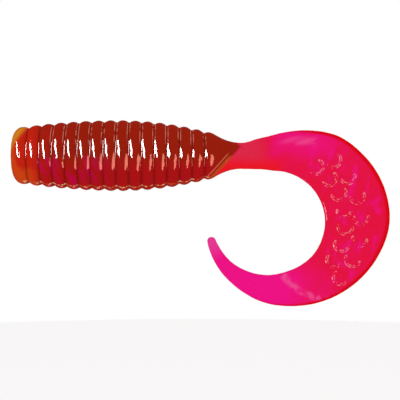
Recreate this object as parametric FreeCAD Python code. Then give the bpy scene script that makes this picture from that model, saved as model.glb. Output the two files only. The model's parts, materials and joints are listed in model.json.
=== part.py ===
import FreeCAD, Part
import math
import os

# Curly-tail soft plastic worm (grub), in millimetres.
# Nose face at x = 0, body axis along +X, back of the worm up (+Z), flat tail in the XZ plane.
# The worm is one casting of two shots of soft plastic. It is cut here where the real one
# flexes: at every groove of the body, at the neck and along the tail.

# ---- body ----
nose_length = 3.4
nose_flat_radius = 3.2
nose_edge_round = 2.0
rib_count = 14
rib_pitch = 2.62
body_radius = 7.45
nose_radius = 5.97
rear_radius = 5.2
thickest_share = 0.52
groove_depth = 0.5
core_radius = 3.0

# ---- clearances between links of the body ----
body_bend_deg = 8.0
relief_spare_deg = 0.3
centre_gap = 0.1

# ---- neck ----
shoulder_length = 1.8
shoulder_end_radius = 4.76
neck_length = 5.9
neck_half_height = 2.76
neck_half_thickness = 1.7
colour_line_x = 4.3
colour_line_slope = 0.64

# ---- tail ----
tail_gap = 0.4
curl_radius = 10.0
curl_ahead = 8.07
curl_drop = 14.07
blade_width = 13.8
blade_thickness = 1.8
tail_cuts_deg = [-96, -76, -54, -32, -10, 12, 34, 56, 78, 100, 122, 144]
tail_tip_deg = 164.5

# Share of the way along the neck, height, thickness and squareness of its cross-section.
neck_shape = [
    (0.00, 1.00, 1.00, 2.0),
    (0.19, 0.68, 0.76, 2.05),
    (0.36, 0.44, 0.54, 2.15),
    (0.54, 0.235, 0.34, 2.3),
    (0.75, 0.08, 0.14, 2.5),
    (1.00, 0.00, 0.00, 2.7),
]

# Blade: angle round the curl, then inner radius, width and thickness as shares of
# curl_radius, blade_width and blade_thickness.
blade_shape = [
    (-108, 1.180, 0.464, 1.50),
    (-96, 1.100, 0.536, 1.33),
    (-84, 1.078, 0.620, 1.21),
    (-70, 1.055, 0.739, 1.13),
    (-55, 1.035, 0.870, 1.08),
    (-40, 1.020, 0.935, 1.06),
    (-20, 1.005, 0.996, 1.03),
    (0, 1.000, 1.000, 1.00),
    (20, 1.000, 0.902, 0.97),
    (40, 1.015, 0.775, 0.94),
    (60, 1.030, 0.656, 0.89),
    (80, 1.060, 0.543, 0.83),
    (100, 1.135, 0.431, 0.78),
    (120, 1.215, 0.315, 0.72),
    (140, 1.300, 0.221, 0.67),
    (160, 1.365, 0.149, 0.61),
    (164.5, 1.380, 0.130, 0.59),
]

groove_x = [nose_length + rib_pitch * i for i in range(rib_count + 1)]
shoulder_end_x = groove_x[-1] + shoulder_length
neck_end_x = shoulder_end_x + neck_length
curl_x = neck_end_x + curl_ahead
curl_z = -curl_drop
relief = math.tan(math.radians((body_bend_deg + relief_spare_deg) / 2))


def crest_radius(x):
    """Radius of the body over its rib crests."""
    middle = groove_x[0] + thickest_share * (groove_x[-1] - groove_x[0])
    nose_crest = 0.55 * nose_length
    if x < middle:
        return body_radius - (body_radius - nose_radius) * ((middle - x) / (middle - nose_crest)) ** 2
    return body_radius - (body_radius - rear_radius) * ((x - middle) / (groove_x[-1] - middle)) ** 2


def groove_radius(x):
    """Radius of the body at the bottom of a groove."""
    return crest_radius(x) - groove_depth


def front_face(x, radius):
    """Where a link's front face is at this radius, behind the groove plane at x."""
    return x + centre_gap / 2 + radius * relief


def rear_face(x, radius):
    """Where a link's rear face is at this radius, ahead of the groove plane at x."""
    return x - centre_gap / 2 - radius * relief


def point(x, radius):
    return FreeCAD.Vector(x, 0, radius)


def turned(edges):
    """A solid of revolution about the body axis, from the edges of its half section."""
    face = Part.Face(Part.Wire(edges))
    solid = face.revolve(FreeCAD.Vector(0, 0, 0), FreeCAD.Vector(1, 0, 0), 360)
    if solid.Volume < 0:
        solid.reverse()
    return solid


def lines(points):
    return [Part.makeLine(a, b) for a, b in zip(points, points[1:])]


def make_nose():
    """The solid front ring, with the flat face that sits against a jig head."""
    x = groove_x[0]
    crest = crest_radius(0.6 * nose_length)
    rim = groove_radius(x)
    flat_edge = point(0, nose_flat_radius)
    rim_end = point(rear_face(x, rim), rim)
    crest_point = point(nose_edge_round, crest)
    rounding = []
    for turn_deg in (0, 22.5, 45, 67.5, 90):
        turn = math.radians(turn_deg)
        x_round = nose_edge_round * (1 - math.cos(turn))
        r_round = nose_flat_radius + (crest - nose_flat_radius) * math.sin(turn)
        rounding.append(point(x_round, r_round))
    curve = Part.BSplineCurve()
    curve.interpolate(Points=rounding, InitialTangent=point(0, 1), FinalTangent=point(1, 0))
    edges = lines([point(0, 0), flat_edge])
    edges.append(curve.toShape())
    edges += lines([crest_point, rim_end, point(rear_face(x, 0), 0), point(0, 0)])
    return turned(edges)


def make_rib(front, rear):
    """The coloured jacket of one rib: a ring with a rounded crest round the core."""
    middle = (front + rear) / 2
    front_rim = groove_radius(front)
    rear_rim = groove_radius(rear)
    a = point(front_face(front, core_radius), core_radius)
    b = point(front_face(front, front_rim), front_rim)
    c = point(middle, crest_radius(middle))
    d = point(rear_face(rear, rear_rim), rear_rim)
    e = point(rear_face(rear, core_radius), core_radius)
    edges = lines([a, b])
    edges.append(Part.Arc(b, c, d).toShape())
    edges += lines([d, e, a])
    return turned(edges)


def make_core(front, rear, radius):
    """The pink disc inside one rib."""
    a = point(front_face(front, 0), 0)
    b = point(front_face(front, radius), radius)
    c = point(rear_face(rear, radius), radius)
    d = point(rear_face(rear, 0), 0)
    return turned(lines([a, b, c, d, a]))


def make_shoulder():
    """The last ring, which runs smoothly into the neck."""
    front = groove_x[-1]
    rim = groove_radius(front)
    a = point(front_face(front, core_radius), core_radius)
    b = point(front_face(front, rim), rim)
    c = point(front + 0.6 * shoulder_length, rear_radius - 0.05)
    d = point(shoulder_end_x, shoulder_end_radius)
    e = point(shoulder_end_x, core_radius)
    edges = lines([a, b])
    edges.append(Part.Arc(b, c, d).toShape())
    edges += lines([d, e, a])
    return turned(edges)


def make_shoulder_core():
    front = groove_x[-1]
    a = point(front_face(front, 0), 0)
    b = point(front_face(front, core_radius), core_radius)
    c = point(shoulder_end_x, core_radius)
    d = point(shoulder_end_x, 0)
    return turned(lines([a, b, c, d, a]))


def smooth_row(table, where):
    """A row between the rows of a table, on a smooth curve through them."""
    index = 0
    while index < len(table) - 2 and where > table[index + 1][0]:
        index += 1
    rows = [table[max(index - 1, 0)], table[index], table[index + 1], table[min(index + 2, len(table) - 1)]]
    span = rows[2][0] - rows[1][0]
    t = (where - rows[1][0]) / span
    result = []
    for column in range(1, len(rows[0])):
        start_slope = span * (rows[2][column] - rows[0][column]) / (rows[2][0] - rows[0][0])
        end_slope = span * (rows[3][column] - rows[1][column]) / (rows[3][0] - rows[1][0])
        value = (2 * t**3 - 3 * t**2 + 1) * rows[1][column]
        value += (t**3 - 2 * t**2 + t) * start_slope
        value += (3 * t**2 - 2 * t**3) * rows[2][column]
        value += (t**3 - t**2) * end_slope
        result.append(value)
    return result


def ring(inner, outer, thickness, squareness):
    """A closed rounded cross-section between two edge points of the tail's mid plane."""
    middle = (inner + outer) / 2
    half = (outer - inner) / 2
    steps = 12
    sides = []
    for side in (1, -1):
        points = []
        for k in range(steps + 1):
            angle = math.pi * k / steps
            u = -math.copysign(abs(math.cos(angle)) ** (2 / squareness), math.cos(angle))
            v = side * abs(math.sin(angle)) ** (2 / squareness)
            if k in (0, steps):
                v = 0
            points.append(middle + half * u + FreeCAD.Vector(0, thickness / 2 * v, 0))
        if side < 0:
            points.reverse()
        curve = Part.BSplineCurve()
        curve.interpolate(Points=points, Parameters=[float(k) for k in range(steps + 1)])
        sides.append(curve.toShape())
    return Part.Wire(sides)


def neck_ring(share, x):
    """Cross-section of the neck, round at the shoulder and flat where the tail starts."""
    high, thick, squareness = smooth_row(neck_shape, share)
    height = neck_half_height + (shoulder_end_radius - neck_half_height) * high
    width = neck_half_thickness + (shoulder_end_radius - neck_half_thickness) * thick
    return ring(FreeCAD.Vector(x, 0, -height), FreeCAD.Vector(x, 0, height), 2 * width, squareness)


def blade_ring(angle_deg, along):
    """Cross-section of the blade at an angle round the curl, moved along the blade by a distance."""
    inner, width, thick = smooth_row(blade_shape, angle_deg)
    angle = math.radians(angle_deg)
    outward = FreeCAD.Vector(math.cos(angle), 0, -math.sin(angle))
    forward = FreeCAD.Vector(-math.sin(angle), 0, -math.cos(angle))
    start = FreeCAD.Vector(curl_x, 0, curl_z) + forward * along
    inner_radius = inner * curl_radius
    outer_radius = inner_radius + width * blade_width
    thickness = thick * blade_thickness
    return ring(start + outward * inner_radius, start + outward * outer_radius, thickness, 3.4)


def tip_ring(share):
    """Shrinking cross-sections that round off the tip."""
    inner, width, thick = smooth_row(blade_shape, tail_tip_deg)
    angle = math.radians(tail_tip_deg + 3.2 * share)
    outward = FreeCAD.Vector(math.cos(angle), 0, -math.sin(angle))
    centre = FreeCAD.Vector(curl_x, 0, curl_z)
    middle = inner * curl_radius + width * blade_width / 2
    size = math.sqrt(1 - 0.84 * share**2)
    half = width * blade_width / 2 * size
    thickness = thick * blade_thickness * size
    return ring(centre + outward * (middle - half), centre + outward * (middle + half), thickness, 3.0)


def lofted(rings):
    solid = Part.makeLoft(rings, True, False)
    if solid.Volume < 0:
        solid.reverse()
    return solid


def make_neck():
    """The neck, split on the slanted line where the body colour ends in the pink tail colour."""
    shares = [0.0, 0.19, 0.36, 0.54, 0.75, 1.0]
    last_x = neck_end_x - tail_gap / 2
    whole = lofted([neck_ring(s, shoulder_end_x + s * (last_x - shoulder_end_x)) for s in shares])
    line_x = shoulder_end_x + colour_line_x
    size = 40.0
    behind = Part.makeBox(size, size, 2 * size, FreeCAD.Vector(0, -size / 2, -size))
    tilt = math.degrees(math.atan(colour_line_slope))
    behind.rotate(FreeCAD.Vector(0, 0, 0), FreeCAD.Vector(0, 1, 0), tilt)
    behind.translate(FreeCAD.Vector(line_x, 0, 0))
    return whole.cut(behind), whole.common(behind)


def make_tail_root():
    """The first part of the tail, from the neck into the curl."""
    first_x = neck_end_x + tail_gap / 2
    rings = [neck_ring(1.0, first_x), blade_ring(-108, 0), blade_ring(-102, 0)]
    rings.append(blade_ring(tail_cuts_deg[0], -tail_gap / 2))
    return lofted(rings)


def make_tail_part(start_deg, end_deg):
    """A part of the blade between two cuts, each half a gap away from its cut."""
    rings = [blade_ring(start_deg, tail_gap / 2)]
    step = (end_deg - start_deg) / 3
    rings += [blade_ring(start_deg + step, 0), blade_ring(start_deg + 2 * step, 0)]
    rings.append(blade_ring(end_deg, -tail_gap / 2))
    return lofted(rings)


def make_tail_tip():
    start_deg = tail_cuts_deg[-1]
    rings = [blade_ring(start_deg, tail_gap / 2)]
    rings += [blade_ring(start_deg + 8, 0), blade_ring(start_deg + 16, 0)]
    rings += [tip_ring(0.0), tip_ring(0.5), tip_ring(0.85), tip_ring(1.0)]
    return lofted(rings)


os.makedirs("parts", exist_ok=True)
shapes = {"nose_ring": make_nose()}
for number in range(rib_count):
    front, rear = groove_x[number], groove_x[number + 1]
    shapes["rib_%02d" % (number + 1)] = make_rib(front, rear)
    shapes["core_%02d" % (number + 1)] = make_core(front, rear, core_radius)
shapes["shoulder_ring"] = make_shoulder()
shapes["shoulder_core"] = make_shoulder_core()
shapes["neck_jacket"], shapes["neck_pink"] = make_neck()
shapes["tail_01"] = make_tail_root()
for number, (start, end) in enumerate(zip(tail_cuts_deg, tail_cuts_deg[1:])):
    shapes["tail_%02d" % (number + 2)] = make_tail_part(start, end)
shapes["tail_tip"] = make_tail_tip()

for name, shape in shapes.items():
    if len(shape.Solids) != 1:
        raise ValueError(name + " isn't one solid")
    if not shape.isValid():
        raise ValueError(name + " isn't a valid solid")
    solid = shape.Solids[0]
    solid.exportStep("parts/" + name + ".step")
    box = solid.BoundBox
    print("%-14s %9.2f mm3  x %7.2f %7.2f  y %6.2f %6.2f  z %7.2f %7.2f" % (
        name, solid.Volume, box.XMin, box.XMax, box.YMin, box.YMax, box.ZMin, box.ZMax))
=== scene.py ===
"""Shaded model of a soft plastic worm round its CAD frame, laid out as a Blender add-on."""
import json
import math

import bpy
import numpy as np
from bpy.props import FloatProperty, PointerProperty, StringProperty
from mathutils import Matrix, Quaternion, Vector

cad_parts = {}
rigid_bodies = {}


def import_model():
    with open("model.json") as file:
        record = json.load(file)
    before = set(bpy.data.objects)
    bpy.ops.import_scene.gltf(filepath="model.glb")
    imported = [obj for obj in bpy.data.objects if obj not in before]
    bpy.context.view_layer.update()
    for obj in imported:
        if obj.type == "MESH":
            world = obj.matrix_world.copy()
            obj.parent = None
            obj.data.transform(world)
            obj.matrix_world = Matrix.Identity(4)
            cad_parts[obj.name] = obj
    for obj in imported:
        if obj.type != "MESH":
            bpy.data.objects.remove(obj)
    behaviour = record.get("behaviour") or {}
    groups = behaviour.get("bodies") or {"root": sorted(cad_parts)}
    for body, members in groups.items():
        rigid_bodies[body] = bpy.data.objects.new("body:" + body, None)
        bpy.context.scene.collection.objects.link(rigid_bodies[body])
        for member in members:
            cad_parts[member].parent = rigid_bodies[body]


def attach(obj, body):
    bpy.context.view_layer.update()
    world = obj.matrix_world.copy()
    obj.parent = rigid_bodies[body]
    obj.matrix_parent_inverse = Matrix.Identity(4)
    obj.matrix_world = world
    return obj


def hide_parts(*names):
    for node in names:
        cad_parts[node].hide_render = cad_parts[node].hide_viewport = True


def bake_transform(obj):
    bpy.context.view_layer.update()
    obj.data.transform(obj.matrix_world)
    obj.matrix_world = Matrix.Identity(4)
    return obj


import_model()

bl_info = {
    "name": "Soft plastic worm",
    "version": (1, 0, 0),
    "blender": (4, 2, 0),
    "location": "View3D > Sidebar > Worm",
    "description": "Builds a ribbed curly-tail worm of soft plastic",
    "category": "Add Mesh",
}

MM = 0.001
PLASTISOL = "Moulded PVC plastisol"

# Angles of the tail's hinges round the curl, clockwise from the worm's rear, in degrees.
TAIL_CUTS = [-96, -76, -54, -32, -10, 12, 34, 56, 78, 100, 122, 144]

# Half height of the neck, in millimetres behind the last groove.
NECK_HEIGHT = [
    (-0.7, 5.34), (0.0, 5.24), (0.77, 5.1), (1.8, 4.76), (2.92, 4.12),
    (3.92, 3.64), (5.0, 3.23), (6.1, 2.94), (7.7, 2.76), (9.0, 2.78),
]

# Half thickness of the neck at the same kind of distance.
NECK_THICKNESS = [
    (-0.7, 5.34), (0.0, 5.24), (0.77, 5.1), (1.8, 4.76), (2.92, 4.05),
    (3.92, 3.36), (5.0, 2.75), (6.2, 2.15), (7.7, 1.7), (9.0, 1.55),
]

# Angle round the curl, inner radius, blade width and thickness, in millimetres.
BLADE = [
    (-108, 11.80, 6.40, 2.70), (-96, 11.00, 7.40, 2.40), (-84, 10.78, 8.55, 2.18),
    (-70, 10.55, 10.20, 2.03), (-55, 10.35, 12.00, 1.95), (-40, 10.20, 12.90, 1.90),
    (-20, 10.05, 13.75, 1.85), (0, 10.00, 13.80, 1.80), (20, 10.00, 12.45, 1.75),
    (40, 10.15, 10.70, 1.70), (60, 10.30, 9.05, 1.60), (80, 10.60, 7.50, 1.50),
    (100, 11.35, 5.95, 1.40), (120, 12.15, 4.35, 1.30), (140, 13.00, 3.05, 1.20),
    (160, 13.65, 2.05, 1.10), (164.5, 13.80, 1.80, 1.06),
]


class WormSizes(bpy.types.PropertyGroup):
    """Sizes of the worm, in millimetres."""

    nose_length: FloatProperty(
        name="Nose ring length",
        description="From the nose face to the first groove, in millimetres",
        default=3.4,
    )
    nose_flat: FloatProperty(
        name="Nose flat radius",
        description="Radius of the flat on the nose face, in millimetres",
        default=3.2,
    )
    nose_round: FloatProperty(
        name="Nose edge round",
        description="Length of the rounding behind the nose face, in millimetres",
        default=2.0,
    )
    nose_radius: FloatProperty(
        name="Nose radius",
        description="Radius of the nose ring behind its rounding, in millimetres",
        default=5.97,
    )
    rib_pitch: FloatProperty(
        name="Rib pitch",
        description="From one groove to the next, in millimetres",
        default=2.62,
    )
    body_radius: FloatProperty(
        name="Body radius",
        description="Radius over the crest of the thickest rib, in millimetres",
        default=7.45,
    )
    rear_radius: FloatProperty(
        name="Rear radius",
        description="Radius at the last groove, in millimetres",
        default=5.24,
    )
    thickest_share: FloatProperty(
        name="Thickest place",
        description="Place of the thickest rib, as a share of the ribbed length",
        default=0.52, subtype="FACTOR", min=0.0, max=1.0,
    )
    groove_depth: FloatProperty(
        name="Groove depth",
        description="Depth of a groove below the crests, in millimetres",
        default=0.45,
    )
    neck_end: FloatProperty(
        name="Neck end",
        description="From the nose face to the end of the neck, in millimetres",
        default=47.78,
    )
    curl_x: FloatProperty(
        name="Curl centre x",
        description="Centre of the tail's curl along the body, in millimetres",
        default=55.85,
    )
    curl_z: FloatProperty(
        name="Curl centre z",
        description="Centre of the tail's curl above the body's axis, in millimetres",
        default=-14.07,
    )
    seam_height: FloatProperty(
        name="Mould seam height",
        description="Height of the seam that the mould leaves, in millimetres",
        default=0.1,
    )
    scale_height: FloatProperty(
        name="Raised crescent height",
        description="Height of the crescents on the tail, in millimetres",
        default=0.16,
    )
    wobble: FloatProperty(
        name="Surface wobble",
        description="Unevenness of the soft surface, in millimetres",
        default=0.012,
    )


class WormColours(bpy.types.PropertyGroup):
    """Colours of the worm, as hex sRGB."""

    brown: StringProperty(
        name="Body",
        description="Upper side of the body",
        default="#971C0A",
    )
    crimson: StringProperty(
        name="Body, lower side",
        description="Lower side of the body",
        default="#AC0E14",
    )
    front_red: StringProperty(
        name="Body, front",
        description="Red patches in the front ribs",
        default="#BC1410",
    )
    # painted shade: colour that darkens the bottoms of the grooves
    painted_groove_shade: StringProperty(
        name="Grooves",
        description="Bottoms of the grooves, where more plastic is looked through",
        default="#6A0E07",
    )
    streak: StringProperty(
        name="Streaks",
        description="Pink streaks inside the front ribs",
        default="#BE0044",
    )
    nose_red: StringProperty(
        name="Nose, rear",
        description="Nose ring where it meets the ribs",
        default="#C4200F",
    )
    amber: StringProperty(
        name="Nose",
        description="Front of the nose ring",
        default="#CE4210",
    )
    amber_light: StringProperty(
        name="Nose, upper edge",
        description="Upper corner of the nose, where it is thin",
        default="#D4801E",
    )
    thin_edge: StringProperty(
        name="Body outline",
        description="Highest and lowest line of the body",
        default="#B9591C",
    )
    # painted highlights: thin pale lines beside the upper grooves
    glint: StringProperty(
        name="Groove glints",
        description="Thin pale lines in the upper grooves",
        default="#E8907C",
    )
    seam: StringProperty(
        name="Mould seam",
        description="Mould seam",
        default="#D0661E",
    )
    # painted highlights: pale flecks on the mould seam
    seam_glint: StringProperty(
        name="Mould seam glints",
        description="Pale flecks on the mould seam",
        default="#F4D9B0",
    )
    neck_amber: StringProperty(
        name="Neck, lower corner",
        description="Body colour where it thins out over the pink",
        default="#B44C16",
    )
    neck_line: StringProperty(
        name="Neck line",
        description="Pale line ahead of the colour boundary",
        default="#E0906A",
    )
    red: StringProperty(
        name="Tail",
        description="Red pink of the tail",
        default="#E81040",
    )
    magenta: StringProperty(
        name="Tail, magenta",
        description="Magenta clouds and rear of the tail",
        default="#F20E88",
    )
    root: StringProperty(
        name="Tail root",
        description="Tail where it leaves the neck",
        default="#E0264A",
    )
    root_red: StringProperty(
        name="Tail root, inner side",
        description="Inner edge of the tail's root",
        default="#F01426",
    )
    tip: StringProperty(
        name="Tail tip",
        description="Last stretch of the tail",
        default="#E8409A",
    )
    rim: StringProperty(
        name="Tail rim",
        description="Outer rim of the tail",
        default="#DC000A",
    )
    pale: StringProperty(
        name="Pale streaks",
        description="Pale streaks in the tail",
        default="#F04E94",
    )
    # painted highlights: pale flecks round the raised crescents
    outline: StringProperty(
        name="Crescent outlines",
        description="Flecks round the raised crescents",
        default="#F7A3AC",
    )
    floor: StringProperty(
        name="Floor",
        description="Floor",
        default="#FDFDFD",
    )


def linear(hex_colour):
    """Linear RGBA from a hex sRGB colour."""
    values = [int(hex_colour[i:i + 2], 16) / 255 for i in (1, 3, 5)]
    return [v / 12.92 if v <= 0.04045 else ((v + 0.055) / 1.055) ** 2.4 for v in values] + [1.0]


def smooth_step(low, high, value):
    """0 below low, 1 above high, smooth in between."""
    t = np.clip((value - low) / (high - low), 0, 1)
    return t * t * (3 - 2 * t)


def curve_through(table, column, where):
    """A smooth curve through a table's points, first column against the asked one."""
    xs = np.array([row[0] for row in table], float)
    ys = np.array([row[column] for row in table], float)
    slopes = np.gradient(ys, xs)
    where = np.clip(where, xs[0], xs[-1])
    i = np.clip(np.searchsorted(xs, where) - 1, 0, len(xs) - 2)
    span = xs[i + 1] - xs[i]
    t = (where - xs[i]) / span
    value = (2 * t**3 - 3 * t**2 + 1) * ys[i] + (t**3 - 2 * t**2 + t) * span * slopes[i]
    return value + (3 * t**2 - 2 * t**3) * ys[i + 1] + (t**3 - t**2) * span * slopes[i + 1]


class Skin:
    """The worm's surface as a function of the way along it and the angle round it."""

    RIBS = 14
    # Way along the skin, in millimetres, of the bridge from the neck into the curl.
    BLEND_LENGTH = 3.5
    # Way along the skin for each degree round the curl.
    MM_PER_DEGREE = 0.29
    # The rounded end of the tail: way along the skin, and degrees round the curl.
    CAP_LENGTH = 0.8
    CAP_DEGREES = 3.2
    # Exponents of the super-ellipse sections: 2 is round, more is squarer.
    NECK_SQUARE = 2.7
    BLADE_SQUARE = 3.4
    # The seam's angle round the body, from straight down towards the near side.
    SEAM_ANGLE = math.radians(25)

    def __init__(self, sizes):
        self.sizes = sizes
        self.last_groove = sizes.nose_length + self.RIBS * sizes.rib_pitch
        self.taper_start = self.last_groove + NECK_HEIGHT[0][0]
        self.blade_start = sizes.neck_end + self.BLEND_LENGTH
        self.tip_start = self.along(BLADE[-1][0])

    def along(self, angle):
        """Way along the skin of an angle round the curl."""
        return self.blade_start + (angle - BLADE[0][0]) * self.MM_PER_DEGREE

    def from_groove(self, x):
        """Distance to the nearest groove in half pitches, 1 on a crest and off the ribs."""
        s = self.sizes
        number = np.clip(np.round((x - s.nose_length) / s.rib_pitch), 0, self.RIBS)
        return np.clip(np.abs(x - s.nose_length - number * s.rib_pitch) / (s.rib_pitch / 2), 0, 1)

    def groove(self, x):
        """1 at the bottom of a groove, 0 on a crest and off the ribs."""
        away = self.from_groove(x)
        # a small rounding, as a share of half a pitch, keeps the bottom from being a knife edge
        soft = 0.07
        away = (np.sqrt(away**2 + soft**2) - soft) / (math.sqrt(1 + soft**2) - soft)
        return (1 - away) ** 2

    def crest(self, x):
        """Radius over the crests of the ribs."""
        s = self.sizes
        middle = s.nose_length + s.thickest_share * (self.last_groove - s.nose_length)
        ahead = (middle - x) / (middle - s.nose_round)
        behind = (x - middle) / (self.last_groove - middle)
        front = s.body_radius - (s.body_radius - s.nose_radius) * ahead**2
        rear = s.body_radius - (s.body_radius - s.rear_radius) * behind**2
        return np.where(x < middle, front, rear)

    def outward(self, angle):
        """Direction away from the curl's centre, x and z, at an angle in degrees."""
        turn = np.radians(angle)
        return np.stack([np.cos(turn), -np.sin(turn)], -1)

    def blade_edges(self, angle):
        """Inner and outer edge points of the blade, x and z."""
        inner = curve_through(BLADE, 1, angle)
        outer = inner + curve_through(BLADE, 2, angle)
        centre = np.array([self.sizes.curl_x, self.sizes.curl_z])
        outward = self.outward(angle)
        return centre + outward * inner[..., None], centre + outward * outer[..., None]

    def body_section(self, t):
        """Way x, radius and half thickness of the nose, the ribs and the neck."""
        s = self.sizes
        turn = np.clip(t / s.nose_round, 0, 1) * math.pi / 2
        in_round = t < s.nose_round
        x = np.where(in_round, s.nose_round * (1 - np.cos(turn)), t)
        x = np.where(t < 0, 0, x)
        behind = x - self.last_groove
        depth = s.groove_depth * self.groove(x)
        neck = curve_through(NECK_HEIGHT, 1, behind)
        radius = np.where(x < self.taper_start, self.crest(x), neck) - depth
        bulge = s.nose_flat + (self.crest(s.nose_round) - s.nose_flat) * np.sin(turn)
        radius = np.where(t < 0, s.nose_flat * (1 + t), np.where(in_round, bulge, radius))
        thick = curve_through(NECK_THICKNESS, 1, behind) - depth
        return x, radius, np.where(t < self.taper_start, radius, thick)

    def bridge(self, u):
        """Lower and upper edge points from the neck, u = 0, into the curl, u = 1."""
        s = self.sizes
        first = float(BLADE[0][0])
        ends = self.blade_edges(np.array(first))
        further = self.blade_edges(np.array(first + 1.0))
        neck = curve_through(NECK_HEIGHT, 1, np.array(s.neck_end - self.last_groove))
        starts = [np.array([s.neck_end, -neck]), np.array([s.neck_end, neck])]
        edges = []
        for start, end, beyond in zip(starts, ends, further):
            reach = np.linalg.norm(end - start)
            leave = np.array([1.0, 0.0]) * reach
            arrive = (beyond - end) / np.linalg.norm(beyond - end) * reach
            point = (2 * u**3 - 3 * u**2 + 1) * start + (u**3 - 2 * u**2 + u) * leave
            edges.append(point + (3 * u**2 - 2 * u**3) * end + (u**3 - u**2) * arrive)
        return edges

    def blade_section(self, t):
        """Lower and upper edge points and half thickness of the blade."""
        last = BLADE[-1][0]
        angle = BLADE[0][0] + (t - self.blade_start) / self.MM_PER_DEGREE
        cap = np.clip((t - self.tip_start) / self.CAP_LENGTH, 0, 1)
        angle = np.where(cap > 0, last + self.CAP_DEGREES * cap, angle)
        held = np.minimum(angle, last)
        inner = curve_through(BLADE, 1, held)
        width = curve_through(BLADE, 2, held)
        size = np.sqrt(1 - cap**2)
        outward = self.outward(angle)
        centre = np.array([self.sizes.curl_x, self.sizes.curl_z])
        middle = centre + outward * (inner + width / 2)[..., None]
        half = outward * (width / 2 * size)[..., None]
        return middle - half, middle + half, curve_through(BLADE, 3, held) / 2 * size

    def section(self, t):
        """Lower and upper edge points, half thickness and squareness at each way t along."""
        s = self.sizes
        t = np.asarray(t, float)
        x, radius, thick = self.body_section(t)
        low, high = np.stack([x, -radius], -1), np.stack([x, radius], -1)
        square = 2 + (self.NECK_SQUARE - 2) * smooth_step(self.last_groove + 1.8, s.neck_end, t)
        u = np.clip((t - s.neck_end) / self.BLEND_LENGTH, 0, 1)
        past_neck = t > s.neck_end
        bridge_low, bridge_high = self.bridge(u[..., None])
        low = np.where(past_neck[..., None], bridge_low, low)
        high = np.where(past_neck[..., None], bridge_high, high)
        thick = np.where(past_neck, thick * (1 - u) + BLADE[0][3] / 2 * u, thick)
        squarer = self.NECK_SQUARE + (self.BLADE_SQUARE - self.NECK_SQUARE) * u
        square = np.where(past_neck, squarer, square)
        in_blade = t > self.blade_start
        blade_low, blade_high, blade_thick = self.blade_section(t)
        low = np.where(in_blade[..., None], blade_low, low)
        high = np.where(in_blade[..., None], blade_high, high)
        thick = np.where(in_blade, blade_thick, thick)
        return low, high, thick, np.where(in_blade, self.BLADE_SQUARE, square)

    def bare(self, t, turn):
        """Points of the surface with no relief, in millimetres."""
        low, high, thick, square = self.section(t)
        up = np.sign(np.cos(turn)) * np.abs(np.cos(turn)) ** (2 / square)
        side = np.sign(np.sin(turn)) * np.abs(np.sin(turn)) ** (2 / square)
        middle, half = (low + high) / 2, (high - low) / 2
        flat = middle + half * up[..., None]
        return np.stack([flat[..., 0], side * thick, flat[..., 1]], -1)

    def relief(self, t, point):
        """Height of small details above the bare surface, in millimetres."""
        s = self.sizes
        x, y, z = point[..., 0], point[..., 1], point[..., 2]
        # slow waves 2 to 4 mm long, as soft plastic has when it leaves its mould
        waves = np.sin(2.1 * x + 1.3 * z) * np.sin(1.7 * z - 0.9 * y + 0.6 * x)
        waves = waves + 0.6 * np.sin(3.9 * z + 2.3 * y) * np.sin(3.1 * x + 1)
        # mould seam low on the near side of the body, with a ragged edge
        off_seam = (np.arctan2(-y, -z) - self.SEAM_ANGLE) * np.hypot(y, z)
        on_body = smooth_step(1.0, 3.0, t) * (1 - smooth_step(41, 44, t))
        ragged = 0.65 + 0.35 * np.sin(1.9 * x) * np.sin(4.3 * x + 1)
        half_width = 0.2
        seam = ragged * on_body * np.exp(-((off_seam / half_width) ** 2))
        return s.wobble * waves + s.seam_height * seam + s.scale_height * self.crescents(t, point)

    def crescents(self, t, point):
        """Two rows of raised crescents on the near face of the blade, 1 on their ridges."""
        if t.max() < self.blade_start:
            return np.zeros_like(t)
        s = self.sizes
        x, y, z = point[..., 0], point[..., 1], point[..., 2]
        angle = BLADE[0][0] + (t - self.blade_start) / self.MM_PER_DEGREE
        out = np.hypot(x - s.curl_x, z - s.curl_z)
        near = smooth_step(0.2, 0.5, -y / np.maximum(self.section(t)[2], 1e-6))
        first_row, row_step, rows = -56, 15, 7
        column_radii = (14.2, 17.6)
        radius, half_width = 1.55, 0.24
        marks = 0
        for row in range(rows):
            for column, centre_out in enumerate(column_radii):
                place = first_row + row_step * (row + column / 2)
                ahead = np.radians(angle - place) * out
                across = out - centre_out
                ring = np.exp(-(((np.hypot(ahead, across) - radius) / half_width) ** 2))
                marks = marks + ring * smooth_step(-0.7, 0.2, ahead)
        return np.clip(marks, 0, 1.2) * near * smooth_step(self.along(-75), self.along(-60), t)

    def normals(self, surface, t, turn, step=0.01):
        """Unit normals of a surface that is a function of t and turn."""
        ahead = surface(t + step, turn) - surface(t - step, turn)
        around = surface(t, turn + step) - surface(t, turn - step)
        normal = np.cross(ahead, around)
        return normal / np.maximum(np.linalg.norm(normal, axis=-1, keepdims=True), 1e-12)

    def raised(self, t, turn):
        """Points of the finished surface, in millimetres."""
        point = self.bare(t, turn)
        return point + self.normals(self.bare, t, turn) * self.relief(t, point)[..., None]


def ring_turns(count=64):
    """Angles round the worm, spread evenly over the flat blade as well as the round body."""
    spread = np.sin(np.linspace(0, math.pi / 2, count + 1))
    crowding = 1.7
    quarter = np.arccos(np.clip(spread**crowding, 0, 1))[::-1]
    half = np.concatenate([quarter, math.pi - quarter[::-1][1:]])
    return np.concatenate([half, math.pi + half[1:-1]])


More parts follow.
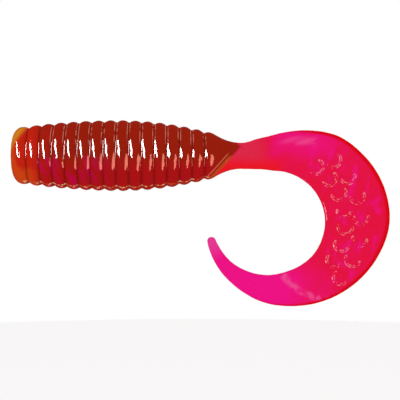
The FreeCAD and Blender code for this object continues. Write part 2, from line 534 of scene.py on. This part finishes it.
def new_piece(name, collection, skin, ways, material, closed_start=False, closed_end=False):
    """One stretch of the skin as a mesh with normals of the uncut surface."""
    turns = ring_turns()
    t, turn = np.meshgrid(np.array(ways, float), turns, indexing="ij")
    point = skin.raised(t, turn)
    normal = skin.normals(skin.raised, t, turn)
    rings, around = t.shape
    vertices = point.reshape(-1, 3)
    normals = normal.reshape(-1, 3)
    index = np.arange(rings * around).reshape(rings, around)
    right = np.roll(index, -1, 1)
    faces = np.stack([index[:-1], index[1:], right[1:], right[:-1]], -1).reshape(-1, 4).tolist()
    low, _, _, square = skin.section(np.array(ways, float))
    across = np.sign(np.cos(turn)) * np.abs(np.cos(turn)) ** (2 / square[:, None])
    pattern = np.minimum(skin.from_groove(t), 1 - skin.crescents(t, point))
    marks = np.stack([t, across, pattern], -1).reshape(-1, 3)
    ends = []
    if closed_start:
        ends.append((0, np.array([-1.0, 0, 0])))
    if closed_end:
        way = (low[-1] - low[-3]) / np.linalg.norm(low[-1] - low[-3])
        ends.append((rings - 1, np.array([way[0], 0, way[1]])))
    for ring, way in ends:
        centre = vertices[index[ring]].mean(0)
        number = len(vertices)
        vertices = np.vstack([vertices, centre])
        normals = np.vstack([normals, way])
        marks = np.vstack([marks, marks[index[ring][0]]])
        for a, b in zip(index[ring], right[ring]):
            faces.append([number, a, b] if ring == 0 else [number, b, a])
    mesh = bpy.data.meshes.new(name)
    mesh.from_pydata((vertices * MM).tolist(), [], [list(map(int, f)) for f in faces])
    mesh.validate()
    for polygon in mesh.polygons:
        polygon.use_smooth = True
    for title, values in (("rest", vertices), ("skin", marks)):
        layer = mesh.attributes.new(title, "FLOAT_VECTOR", "POINT")
        layer.data.foreach_set("vector", np.asarray(values, np.float32).ravel())
    mesh.normals_split_custom_set_from_vertices(normals.tolist())
    mesh.materials.append(material)
    piece = bpy.data.objects.new(name, mesh)
    collection.objects.link(piece)
    return piece


# ---- materials ----

def add_node(tree, kind, inputs=None, **settings):
    """A new shader node; inputs maps socket names to values or to other sockets."""
    node = tree.nodes.new(kind)
    for name, value in settings.items():
        setattr(node, name, value)
    for name, value in (inputs or {}).items():
        if isinstance(value, bpy.types.NodeSocket):
            tree.links.new(value, node.inputs[name])
        else:
            node.inputs[name].default_value = value
    return node


def maths(tree, operation, a, b=0.0):
    """One sum, product or other operation on two numbers or sockets."""
    return add_node(tree, "ShaderNodeMath", {0: a, 1: b}, operation=operation).outputs[0]


def between(tree, value, low, high):
    """0 below low, 1 above high, smooth in between; high may be the smaller."""
    inputs = {"Value": value, "From Min": low, "From Max": high}
    return add_node(tree, "ShaderNodeMapRange", inputs, interpolation_type="SMOOTHSTEP").outputs[0]


def mixed(tree, share, a, b):
    """Colour a where share is 0, colour b where it is 1."""
    node = add_node(tree, "ShaderNodeMix", {0: share, 6: a, 7: b}, data_type="RGBA")
    return node.outputs[2]


def noise(tree, rest, size, detail=2.0, lean=0.0):
    """Noise with features of this size in millimetres, leaning this many degrees."""
    inputs = {"Vector": rest, "Rotation": (0, math.radians(lean), 0), "Scale": size}
    space = add_node(tree, "ShaderNodeMapping", inputs, vector_type="TEXTURE").outputs[0]
    inputs = {"Vector": space, "Scale": 1.0, "Detail": detail}
    return add_node(tree, "ShaderNodeTexNoise", inputs).outputs["Fac"]


def band(tree, value, centre, width):
    """1 where value is at centre, falling smoothly to 0 at width either side."""
    away = maths(tree, "ABSOLUTE", maths(tree, "SUBTRACT", value, centre))
    return between(tree, away, width, width * 0.15)


def times(tree, *shares):
    """The product of several shares."""
    product = shares[0]
    for share in shares[1:]:
        product = maths(tree, "MULTIPLY", product, share)
    return product


def parts_of(tree, vector):
    """The three numbers of a vector."""
    split = add_node(tree, "ShaderNodeSeparateXYZ", {0: vector})
    return split.outputs[0], split.outputs[1], split.outputs[2]


def swing(tree, value, amount):
    """Noise from 0 to 1 turned into a share either side of 0."""
    return maths(tree, "MULTIPLY", maths(tree, "SUBTRACT", value, 0.5), amount)


def tail_colour(tree, rest, skin, colours):
    """Hot pink with magenta clouds, red rims and pale streaks."""
    along, across, pattern = parts_of(tree, skin)
    z = parts_of(tree, rest)[2]
    # magenta behind the root and again towards the tip, in clouds 5 to 8 mm across
    clouds = noise(tree, rest, (5, 20, 8), 3.0, 40)
    early = times(tree, between(tree, along, 51.5, 57.5), between(tree, along, 74, 60))
    early = times(tree, early, between(tree, across, -0.9, 0.5), 0.6)
    late = times(tree, between(tree, along, 92, 114), 1.15)
    share = maths(tree, "ADD", maths(tree, "ADD", early, late), swing(tree, clouds, 0.9))
    share = between(tree, share, -0.1, 1.1)
    colour = mixed(tree, share, linear(colours.red), linear(colours.magenta))
    # the root, with its redder inner edge
    colour = mixed(tree, between(tree, along, 55.5, 50.5), colour, linear(colours.root))
    inner = times(tree, between(tree, z, 0.5, -2.6), between(tree, along, 60, 54))
    colour = mixed(tree, inner, colour, linear(colours.root_red))
    # magenta patches 2 to 4 mm long round the crescents
    spots = between(tree, noise(tree, rest, (1.9, 10, 3.6), 2.0, 12), 0.5, 0.72)
    spots = times(tree, spots, between(tree, along, 61, 66), between(tree, along, 100, 90))
    spots = times(tree, spots, between(tree, maths(tree, "ABSOLUTE", across), 0.9, 0.6), 0.8)
    colour = mixed(tree, spots, colour, linear(colours.magenta))
    # a pale streak that curves across the rear of the curl
    bent = maths(tree, "ADD", across, 1.0)
    line = maths(tree, "ADD", along, times(tree, bent, 2.6))
    line = maths(tree, "ADD", line, times(tree, bent, bent, 0.72))
    wisps = between(tree, noise(tree, rest, (2, 10, 2), 3.0), 0.4, 0.62)
    low_wisp = times(tree, band(tree, line, 107.6, 1.8), wisps, 0.8)
    colour = mixed(tree, low_wisp, colour, linear(colours.pale))
    # long pale streaks under the top of the arch
    wisps = between(tree, noise(tree, rest, (5, 10, 1.3), 2.0, -18), 0.42, 0.62)
    high_wisp = times(tree, band(tree, across, 0.5, 0.3), band(tree, along, 61.0, 5.5), wisps, 0.6)
    colour = mixed(tree, high_wisp, colour, linear(colours.pale))
    colour = mixed(tree, times(tree, between(tree, along, 125, 130), 0.8), colour, linear(colours.tip))
    # painted highlights: flecks of light on the flanks of the crescents
    flecks = between(tree, noise(tree, rest, (0.5, 2, 0.5)), 0.46, 0.6)
    outline = times(tree, band(tree, pattern, 0.5, 0.4), flecks, 0.6)
    colour = mixed(tree, outline, colour, linear(colours.outline))
    # the thick outer rim is deeper in colour
    rim = times(tree, between(tree, across, 0.8, 0.93), between(tree, along, 118, 100))
    rim = times(tree, rim, between(tree, along, 56, 64))
    return mixed(tree, rim, colour, linear(colours.rim))


def body_colour(tree, rest, skin, colours):
    """Brick brown with a crimson lower side, pink streaks and an amber nose."""
    _, across, from_groove = parts_of(tree, skin)
    x, y, z = parts_of(tree, rest)
    soft = noise(tree, rest, (4, 8, 4))
    fine = noise(tree, rest, (0.8, 1.6, 1.5), 2.0, -15)
    # crimson lower side, deeper towards the grooves
    lower = maths(tree, "ADD", between(tree, z, 0.5, -5.0), swing(tree, soft, 1.0))
    deeper = times(tree, between(tree, z, 0.0, -2.0), between(tree, from_groove, 0.9, 0.1), 0.35)
    lower = between(tree, maths(tree, "ADD", lower, deeper), 0, 1.1)
    colour = mixed(tree, lower, linear(colours.brown), linear(colours.crimson))
    front = times(tree, between(tree, x, 13.0, 5.0), between(tree, fine, 0.3, 0.7), 0.6)
    colour = mixed(tree, front, colour, linear(colours.front_red))
    # pink streaks about 1 mm wide, seen inside the lower front ribs
    streaks = between(tree, noise(tree, rest, (1.0, 6, 7), 1.0, -27), 0.5, 0.6)
    area = times(tree, between(tree, x, 4.5, 7.0), between(tree, x, 24.0, 13.0))
    streaks = times(tree, streaks, area, between(tree, z, 0.5, -2.0), 0.85)
    colour = mixed(tree, streaks, colour, linear(colours.streak))
    # the nose turns red, then amber, and palest at its thin upper corner
    nose = maths(tree, "ADD", between(tree, x, 8.0, 3.4), swing(tree, soft, 0.5))
    colour = mixed(tree, between(tree, nose, 0.0, 1.0), colour, linear(colours.nose_red))
    low_front = maths(tree, "ADD", swing(tree, fine, 0.7), between(tree, z, -1.0, -4.5))
    orange = maths(tree, "ADD", between(tree, x, 2.6, 0.2), low_front)
    orange = times(tree, between(tree, orange, 0.3, 1.0), between(tree, x, 6.5, 3.0))
    colour = mixed(tree, orange, colour, linear(colours.amber))
    corner = maths(tree, "SUBTRACT", z, maths(tree, "MULTIPLY", x, 1.6))
    colour = mixed(tree, between(tree, corner, -0.5, 2.0), colour, linear(colours.amber_light))
    # light comes through the thin highest and lowest line of the body
    edge = between(tree, maths(tree, "ABSOLUTE", across), 0.95, 0.995)
    edge = times(tree, edge, between(tree, fine, 0.35, 0.6), between(tree, x, 0.5, 1.8), 0.65)
    colour = mixed(tree, edge, colour, linear(colours.thin_edge))
    # painted shade darkens the grooves, and painted highlights make thin pale lines beside them on the
    # upper side
    grooves = times(tree, between(tree, from_groove, 0.3, 0.0), 0.6)
    colour = mixed(tree, grooves, colour, linear(colours.painted_groove_shade))
    glint = times(tree, band(tree, from_groove, 0.2, 0.09), between(tree, z, 1.5, 3.0))
    glint = times(tree, glint, between(tree, fine, 0.38, 0.55), between(tree, x, 6.0, 9.0), 0.75)
    colour = mixed(tree, glint, colour, linear(colours.glint))
    # mould seam, with painted highlights as pale flecks on it
    down, near = maths(tree, "MULTIPLY", z, -1), maths(tree, "MULTIPLY", y, -1)
    seam = band(tree, maths(tree, "ARCTAN2", near, down), Skin.SEAM_ANGLE, math.radians(2.6))
    seam = times(tree, seam, between(tree, x, 44, 40), between(tree, x, 0.8, 2.4))
    sparkle = noise(tree, rest, (0.6, 1.6, 1.6))
    warm = times(tree, seam, between(tree, sparkle, 0.35, 0.5), 0.85)
    colour = mixed(tree, warm, colour, linear(colours.seam))
    pale = times(tree, seam, between(tree, sparkle, 0.52, 0.62))
    return mixed(tree, pale, colour, linear(colours.seam_glint))


def worm_plastisol(colours):
    """PVC plastisol, moulded in two colours that meet on a slanted line in the neck."""
    # Plastisol sets against a smooth mould and sweats a little oil, so it looks wet: small sharp
    # highlights with a slightly broken outline. Its refractive index is about 1.5. It is partly
    # see-through, and the colours carry the depth that shows through it.
    material = bpy.data.materials.new(PLASTISOL)
    material.use_nodes = True
    tree = material.node_tree
    tree.nodes.clear()
    rest = add_node(tree, "ShaderNodeAttribute", attribute_name="rest").outputs["Vector"]
    skin = add_node(tree, "ShaderNodeAttribute", attribute_name="skin").outputs["Vector"]
    shader = add_node(tree, "ShaderNodeBsdfPrincipled", {"Roughness": 0.06, "IOR": 1.5})
    add_node(tree, "ShaderNodeOutputMaterial", {0: shader.outputs[0]})
    # the body colour ends in a wedge that points to the rear
    x, _, z = parts_of(tree, rest)
    tongue = maths(tree, "ABSOLUTE", maths(tree, "SUBTRACT", z, 1.85))
    line = maths(tree, "ADD", x, maths(tree, "MULTIPLY", tongue, 0.9))
    body = body_colour(tree, rest, skin, colours)
    amber = times(tree, between(tree, line, 46.7, 47.4), between(tree, z, 0.4, -0.8))
    body = mixed(tree, amber, body, linear(colours.neck_amber))
    pale_line = times(tree, band(tree, line, 46.4, 0.2), between(tree, z, 0.6, 0.0), 0.55)
    body = mixed(tree, pale_line, body, linear(colours.neck_line))
    tail = tail_colour(tree, rest, skin, colours)
    colour = mixed(tree, between(tree, line, 47.3, 48.2), body, tail)
    tree.links.new(colour, shader.inputs["Base Color"])
    # grain half a millimetre across; the real one is finer, but would not show
    grain = noise(tree, rest, (0.45, 0.45, 0.8), 3.0)
    bump = add_node(tree, "ShaderNodeBump", {"Height": grain, "Distance": 0.018 * MM, "Strength": 1.0})
    tree.links.new(bump.outputs[0], shader.inputs["Normal"])
    return material


def floor_paint(colours):
    """Matt painted board, which shows no highlight."""
    material = bpy.data.materials.new("Matt painted board")
    material.use_nodes = True
    shader = material.node_tree.nodes["Principled BSDF"]
    shader.inputs["Base Color"].default_value = linear(colours.floor)
    shader.inputs["Roughness"].default_value = 0.9
    return material


# ---- pieces ----

def worm_collection():
    """The collection that holds the worm's pieces."""
    found = bpy.data.collections.get("Worm")
    if found is None:
        found = bpy.data.collections.new("Worm")
        bpy.context.scene.collection.children.link(found)
    return found


def plastisol(context):
    """The one material that all the worm's pieces share."""
    return bpy.data.materials.get(PLASTISOL) or worm_plastisol(context.scene.worm_colours)


class WORM_OT_body(bpy.types.Operator):
    """Adds the nose ring and the ribs, one stretch of skin over each groove"""

    bl_idname = "worm.body"
    bl_label = "Worm body"

    def execute(self, context):
        skin = Skin(context.scene.worm_sizes)
        sizes = skin.sizes
        material = plastisol(context)
        half = sizes.rib_pitch / 2
        for number in range(skin.RIBS + 1):
            groove = sizes.nose_length + number * sizes.rib_pitch
            ways = np.linspace(groove - half, groove + half, 21)
            name = "rib_skin_%02d" % number
            hidden = ["rib_%02d" % number, "core_%02d" % number]
            if number == 0:
                # ways below 0 run over the flat nose face, from its middle at -1
                face = np.linspace(-0.98, 0, 10)[:-1]
                edge = np.linspace(0, groove - half, 22)[:-1]
                ways = np.concatenate([face, edge, ways])
                name, hidden = "nose_skin", ["nose_ring"]
            piece = new_piece(name, worm_collection(), skin, ways, material, closed_start=number == 0)
            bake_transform(piece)
            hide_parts(*hidden)
        return {"FINISHED"}


class WORM_OT_neck(bpy.types.Operator):
    """Adds the neck, from the last crest into the root of the tail"""

    bl_idname = "worm.neck"
    bl_label = "Worm neck"

    def execute(self, context):
        skin = Skin(context.scene.worm_sizes)
        sizes = skin.sizes
        start = skin.last_groove + sizes.rib_pitch / 2
        # the neck bends over the 4 mm round its end, and the shoulder stops just before that
        bend_start, bend_end = sizes.neck_end - 2, sizes.neck_end + 2
        shoulder_end = bend_start - 0.8
        ways = np.linspace(start, shoulder_end, 28)
        shoulder = new_piece("shoulder_skin", worm_collection(), skin, ways, plastisol(context))
        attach(shoulder, "neck")
        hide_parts("shoulder_ring", "shoulder_core")
        neck_ways = np.linspace(shoulder_end, sizes.neck_end, 22)[:-1]
        bridge_ways = np.linspace(sizes.neck_end, skin.blade_start, 24)
        ways = np.concatenate([neck_ways, bridge_ways])
        piece = new_piece("neck_skin", worm_collection(), skin, ways, plastisol(context))
        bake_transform(piece)
        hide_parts("neck_jacket", "neck_pink")
        return {"FINISHED"}


class WORM_OT_tail(bpy.types.Operator):
    """Adds the sickle tail, one stretch of skin over each of its hinges"""

    bl_idname = "worm.tail"
    bl_label = "Worm tail"

    def execute(self, context):
        skin = Skin(context.scene.worm_sizes)
        sizes = skin.sizes
        cuts = len(TAIL_CUTS)
        ring_step = 0.2
        # at the blade's inner edge a piece reaches 1.9 mm from its hinge
        for number, cut in enumerate(TAIL_CUTS):
            first = skin.blade_start
            if number > 0:
                first = skin.along((TAIL_CUTS[number - 1] + cut) / 2)
            last = skin.tip_start
            if number + 1 < cuts:
                last = skin.along((cut + TAIL_CUTS[number + 1]) / 2)
            ways = np.linspace(first, last, int((last - first) / ring_step) + 2)
            tip = number + 1 == cuts
            if tip:
                cap = skin.tip_start + skin.CAP_LENGTH * np.sin(np.linspace(0, math.pi / 2, 14))[1:]
                # the last ring stops just short, so that it keeps a size
                cap[-1] = skin.tip_start + skin.CAP_LENGTH * 0.998
                ways = np.concatenate([ways, cap])
            name = "tail_skin_%02d" % (number + 1)
            piece = new_piece(name, worm_collection(), skin, ways, plastisol(context), closed_end=tip)
            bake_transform(piece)
            hidden = ["tail_%02d" % (number + 1)]
            if tip:
                hidden.append("tail_tip")
            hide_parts(*hidden)
        return {"FINISHED"}


def add_softbox(name, place, target, size, power, receivers, colour=(1, 1, 1), roll=0.0):
    """An area light aimed at a target, in millimetres, that makes highlights on its receivers only."""
    light = bpy.data.lights.new(name, "AREA")
    light.shape = "ELLIPSE"
    light.size, light.size_y = size[0] * MM, size[1] * MM
    light.energy = power
    light.color = colour
    lamp = bpy.data.objects.new(name, light)
    lamp.location = Vector(place) * MM
    aim = (Vector(target) - Vector(place)).to_track_quat("-Z", "Y")
    lamp.rotation_mode = "QUATERNION"
    lamp.rotation_quaternion = aim @ Quaternion((0, 0, 1), math.radians(roll))
    lamp.visible_camera = False
    lamp.visible_diffuse = False
    lit = bpy.data.collections.new(name + "_lights")
    for piece in bpy.data.collections["Worm"].objects:
        if piece.name.startswith(receivers):
            lit.objects.link(piece)
    lamp.light_linking.receiver_collection = lit
    bpy.context.scene.collection.objects.link(lamp)


class WORM_OT_stage(bpy.types.Operator):
    """Adds the pale floor, the soft light and the camera"""

    bl_idname = "worm.stage"
    bl_label = "Worm stage"

    def execute(self, context):
        scene = context.scene
        mesh = bpy.data.meshes.new("floor")
        sides, radius = 64, 0.6
        turns = [k * 2 * math.pi / sides for k in range(sides)]
        corners = [(radius * math.cos(turn), radius * math.sin(turn), 0) for turn in turns]
        mesh.from_pydata(corners, [], [list(range(sides))])
        floor = bpy.data.objects.new("floor", mesh)
        floor.location = (0.04, 0, -0.11)
        floor.visible_glossy = False
        mesh.materials.append(floor_paint(scene.worm_colours))
        scene.collection.objects.link(floor)
        world = bpy.data.worlds.new("Soft white studio")
        world.use_nodes = True
        tree = world.node_tree
        white = tree.nodes["Background"]
        white.inputs[0].default_value = (1, 1, 1, 1)
        # a dim red surround for reflections, like the light that comes back out of the plastic
        warm = add_node(tree, "ShaderNodeBackground", {0: (0.28, 0.03, 0.015, 1)})
        ray = add_node(tree, "ShaderNodeLightPath")
        inputs = {0: ray.outputs["Is Glossy Ray"], 1: white.outputs[0], 2: warm.outputs[0]}
        both = add_node(tree, "ShaderNodeMixShader", inputs)
        tree.links.new(both.outputs[0], tree.nodes["World Output"].inputs[0])
        scene.world = world
        body = ("nose_skin", "rib_skin", "shoulder_skin")
        tail = ("neck_skin", "tail_skin")
        # the tail's light leaves out its last stretch, whose thin rim would glitter
        blade = ["neck_skin"] + ["tail_skin_%02d" % number for number in range(1, len(TAIL_CUTS))]
        ribs, curl = (20, 0, 0), (65, 0, -12)
        add_softbox("tall_softbox", (-80, -110, 46), ribs, (36, 190), 1.2, body, roll=35)
        add_softbox("low_back_softbox", (8, 88, -98), ribs, (50, 16), 0.008, body + tail)
        pink = (1.0, 0.36, 0.26)
        add_softbox("warm_kicker", (100, -62, -36), (25, 0, -2), (44, 90), 0.12, body, pink)
        add_softbox("tail_light", (-60, -150, -50), curl, (50, 50), 0.05, tuple(blade))
        data = bpy.data.cameras.new("camera")
        camera = bpy.data.objects.new("camera", data)
        # the frame is 84.66 mm wide at the worm, seen from 200 mm and a little to the nose end
        view_width = 84.66
        target = Vector((39.25, 0, -9.35))
        place = Vector((32.25, -200, -9.35))
        camera.location = place * MM
        camera.rotation_mode = "QUATERNION"
        camera.rotation_quaternion = (target - place).to_track_quat("-Z", "Y")
        data.sensor_width = 36
        data.lens = data.sensor_width * (target - place).length / view_width
        data.clip_start, data.clip_end = 0.01, 10
        scene.collection.objects.link(camera)
        scene.camera = camera
        scene.view_settings.view_transform = "Standard"
        scene.view_settings.look = "None"
        return {"FINISHED"}


class WORM_PT_panel(bpy.types.Panel):
    """Sizes and colours of the worm, and a button for each part"""

    bl_idname = "WORM_PT_panel"
    bl_label = "Soft plastic worm"
    bl_space_type = "VIEW_3D"
    bl_region_type = "UI"
    bl_category = "Worm"

    def draw(self, context):
        for group in (context.scene.worm_sizes, context.scene.worm_colours):
            for name in group.__annotations__:
                self.layout.prop(group, name)
        for name in ("worm.body", "worm.neck", "worm.tail", "worm.stage"):
            self.layout.operator(name)


CLASSES = (
    WormSizes, WormColours, WORM_OT_body, WORM_OT_neck, WORM_OT_tail, WORM_OT_stage, WORM_PT_panel,
)


def register():
    """Registers the classes and gives the scene its sizes and colours."""
    for cls in CLASSES:
        bpy.utils.register_class(cls)
    bpy.types.Scene.worm_sizes = PointerProperty(type=WormSizes)
    bpy.types.Scene.worm_colours = PointerProperty(type=WormColours)


def unregister():
    """Takes back what register does."""
    del bpy.types.Scene.worm_sizes
    del bpy.types.Scene.worm_colours
    for cls in reversed(CLASSES):
        bpy.utils.unregister_class(cls)


def main():
    """Builds the whole scene."""
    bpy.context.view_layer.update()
    register()
    bpy.ops.worm.body()
    bpy.ops.worm.neck()
    bpy.ops.worm.tail()
    bpy.ops.worm.stage()


if __name__ == "__main__":
    main()
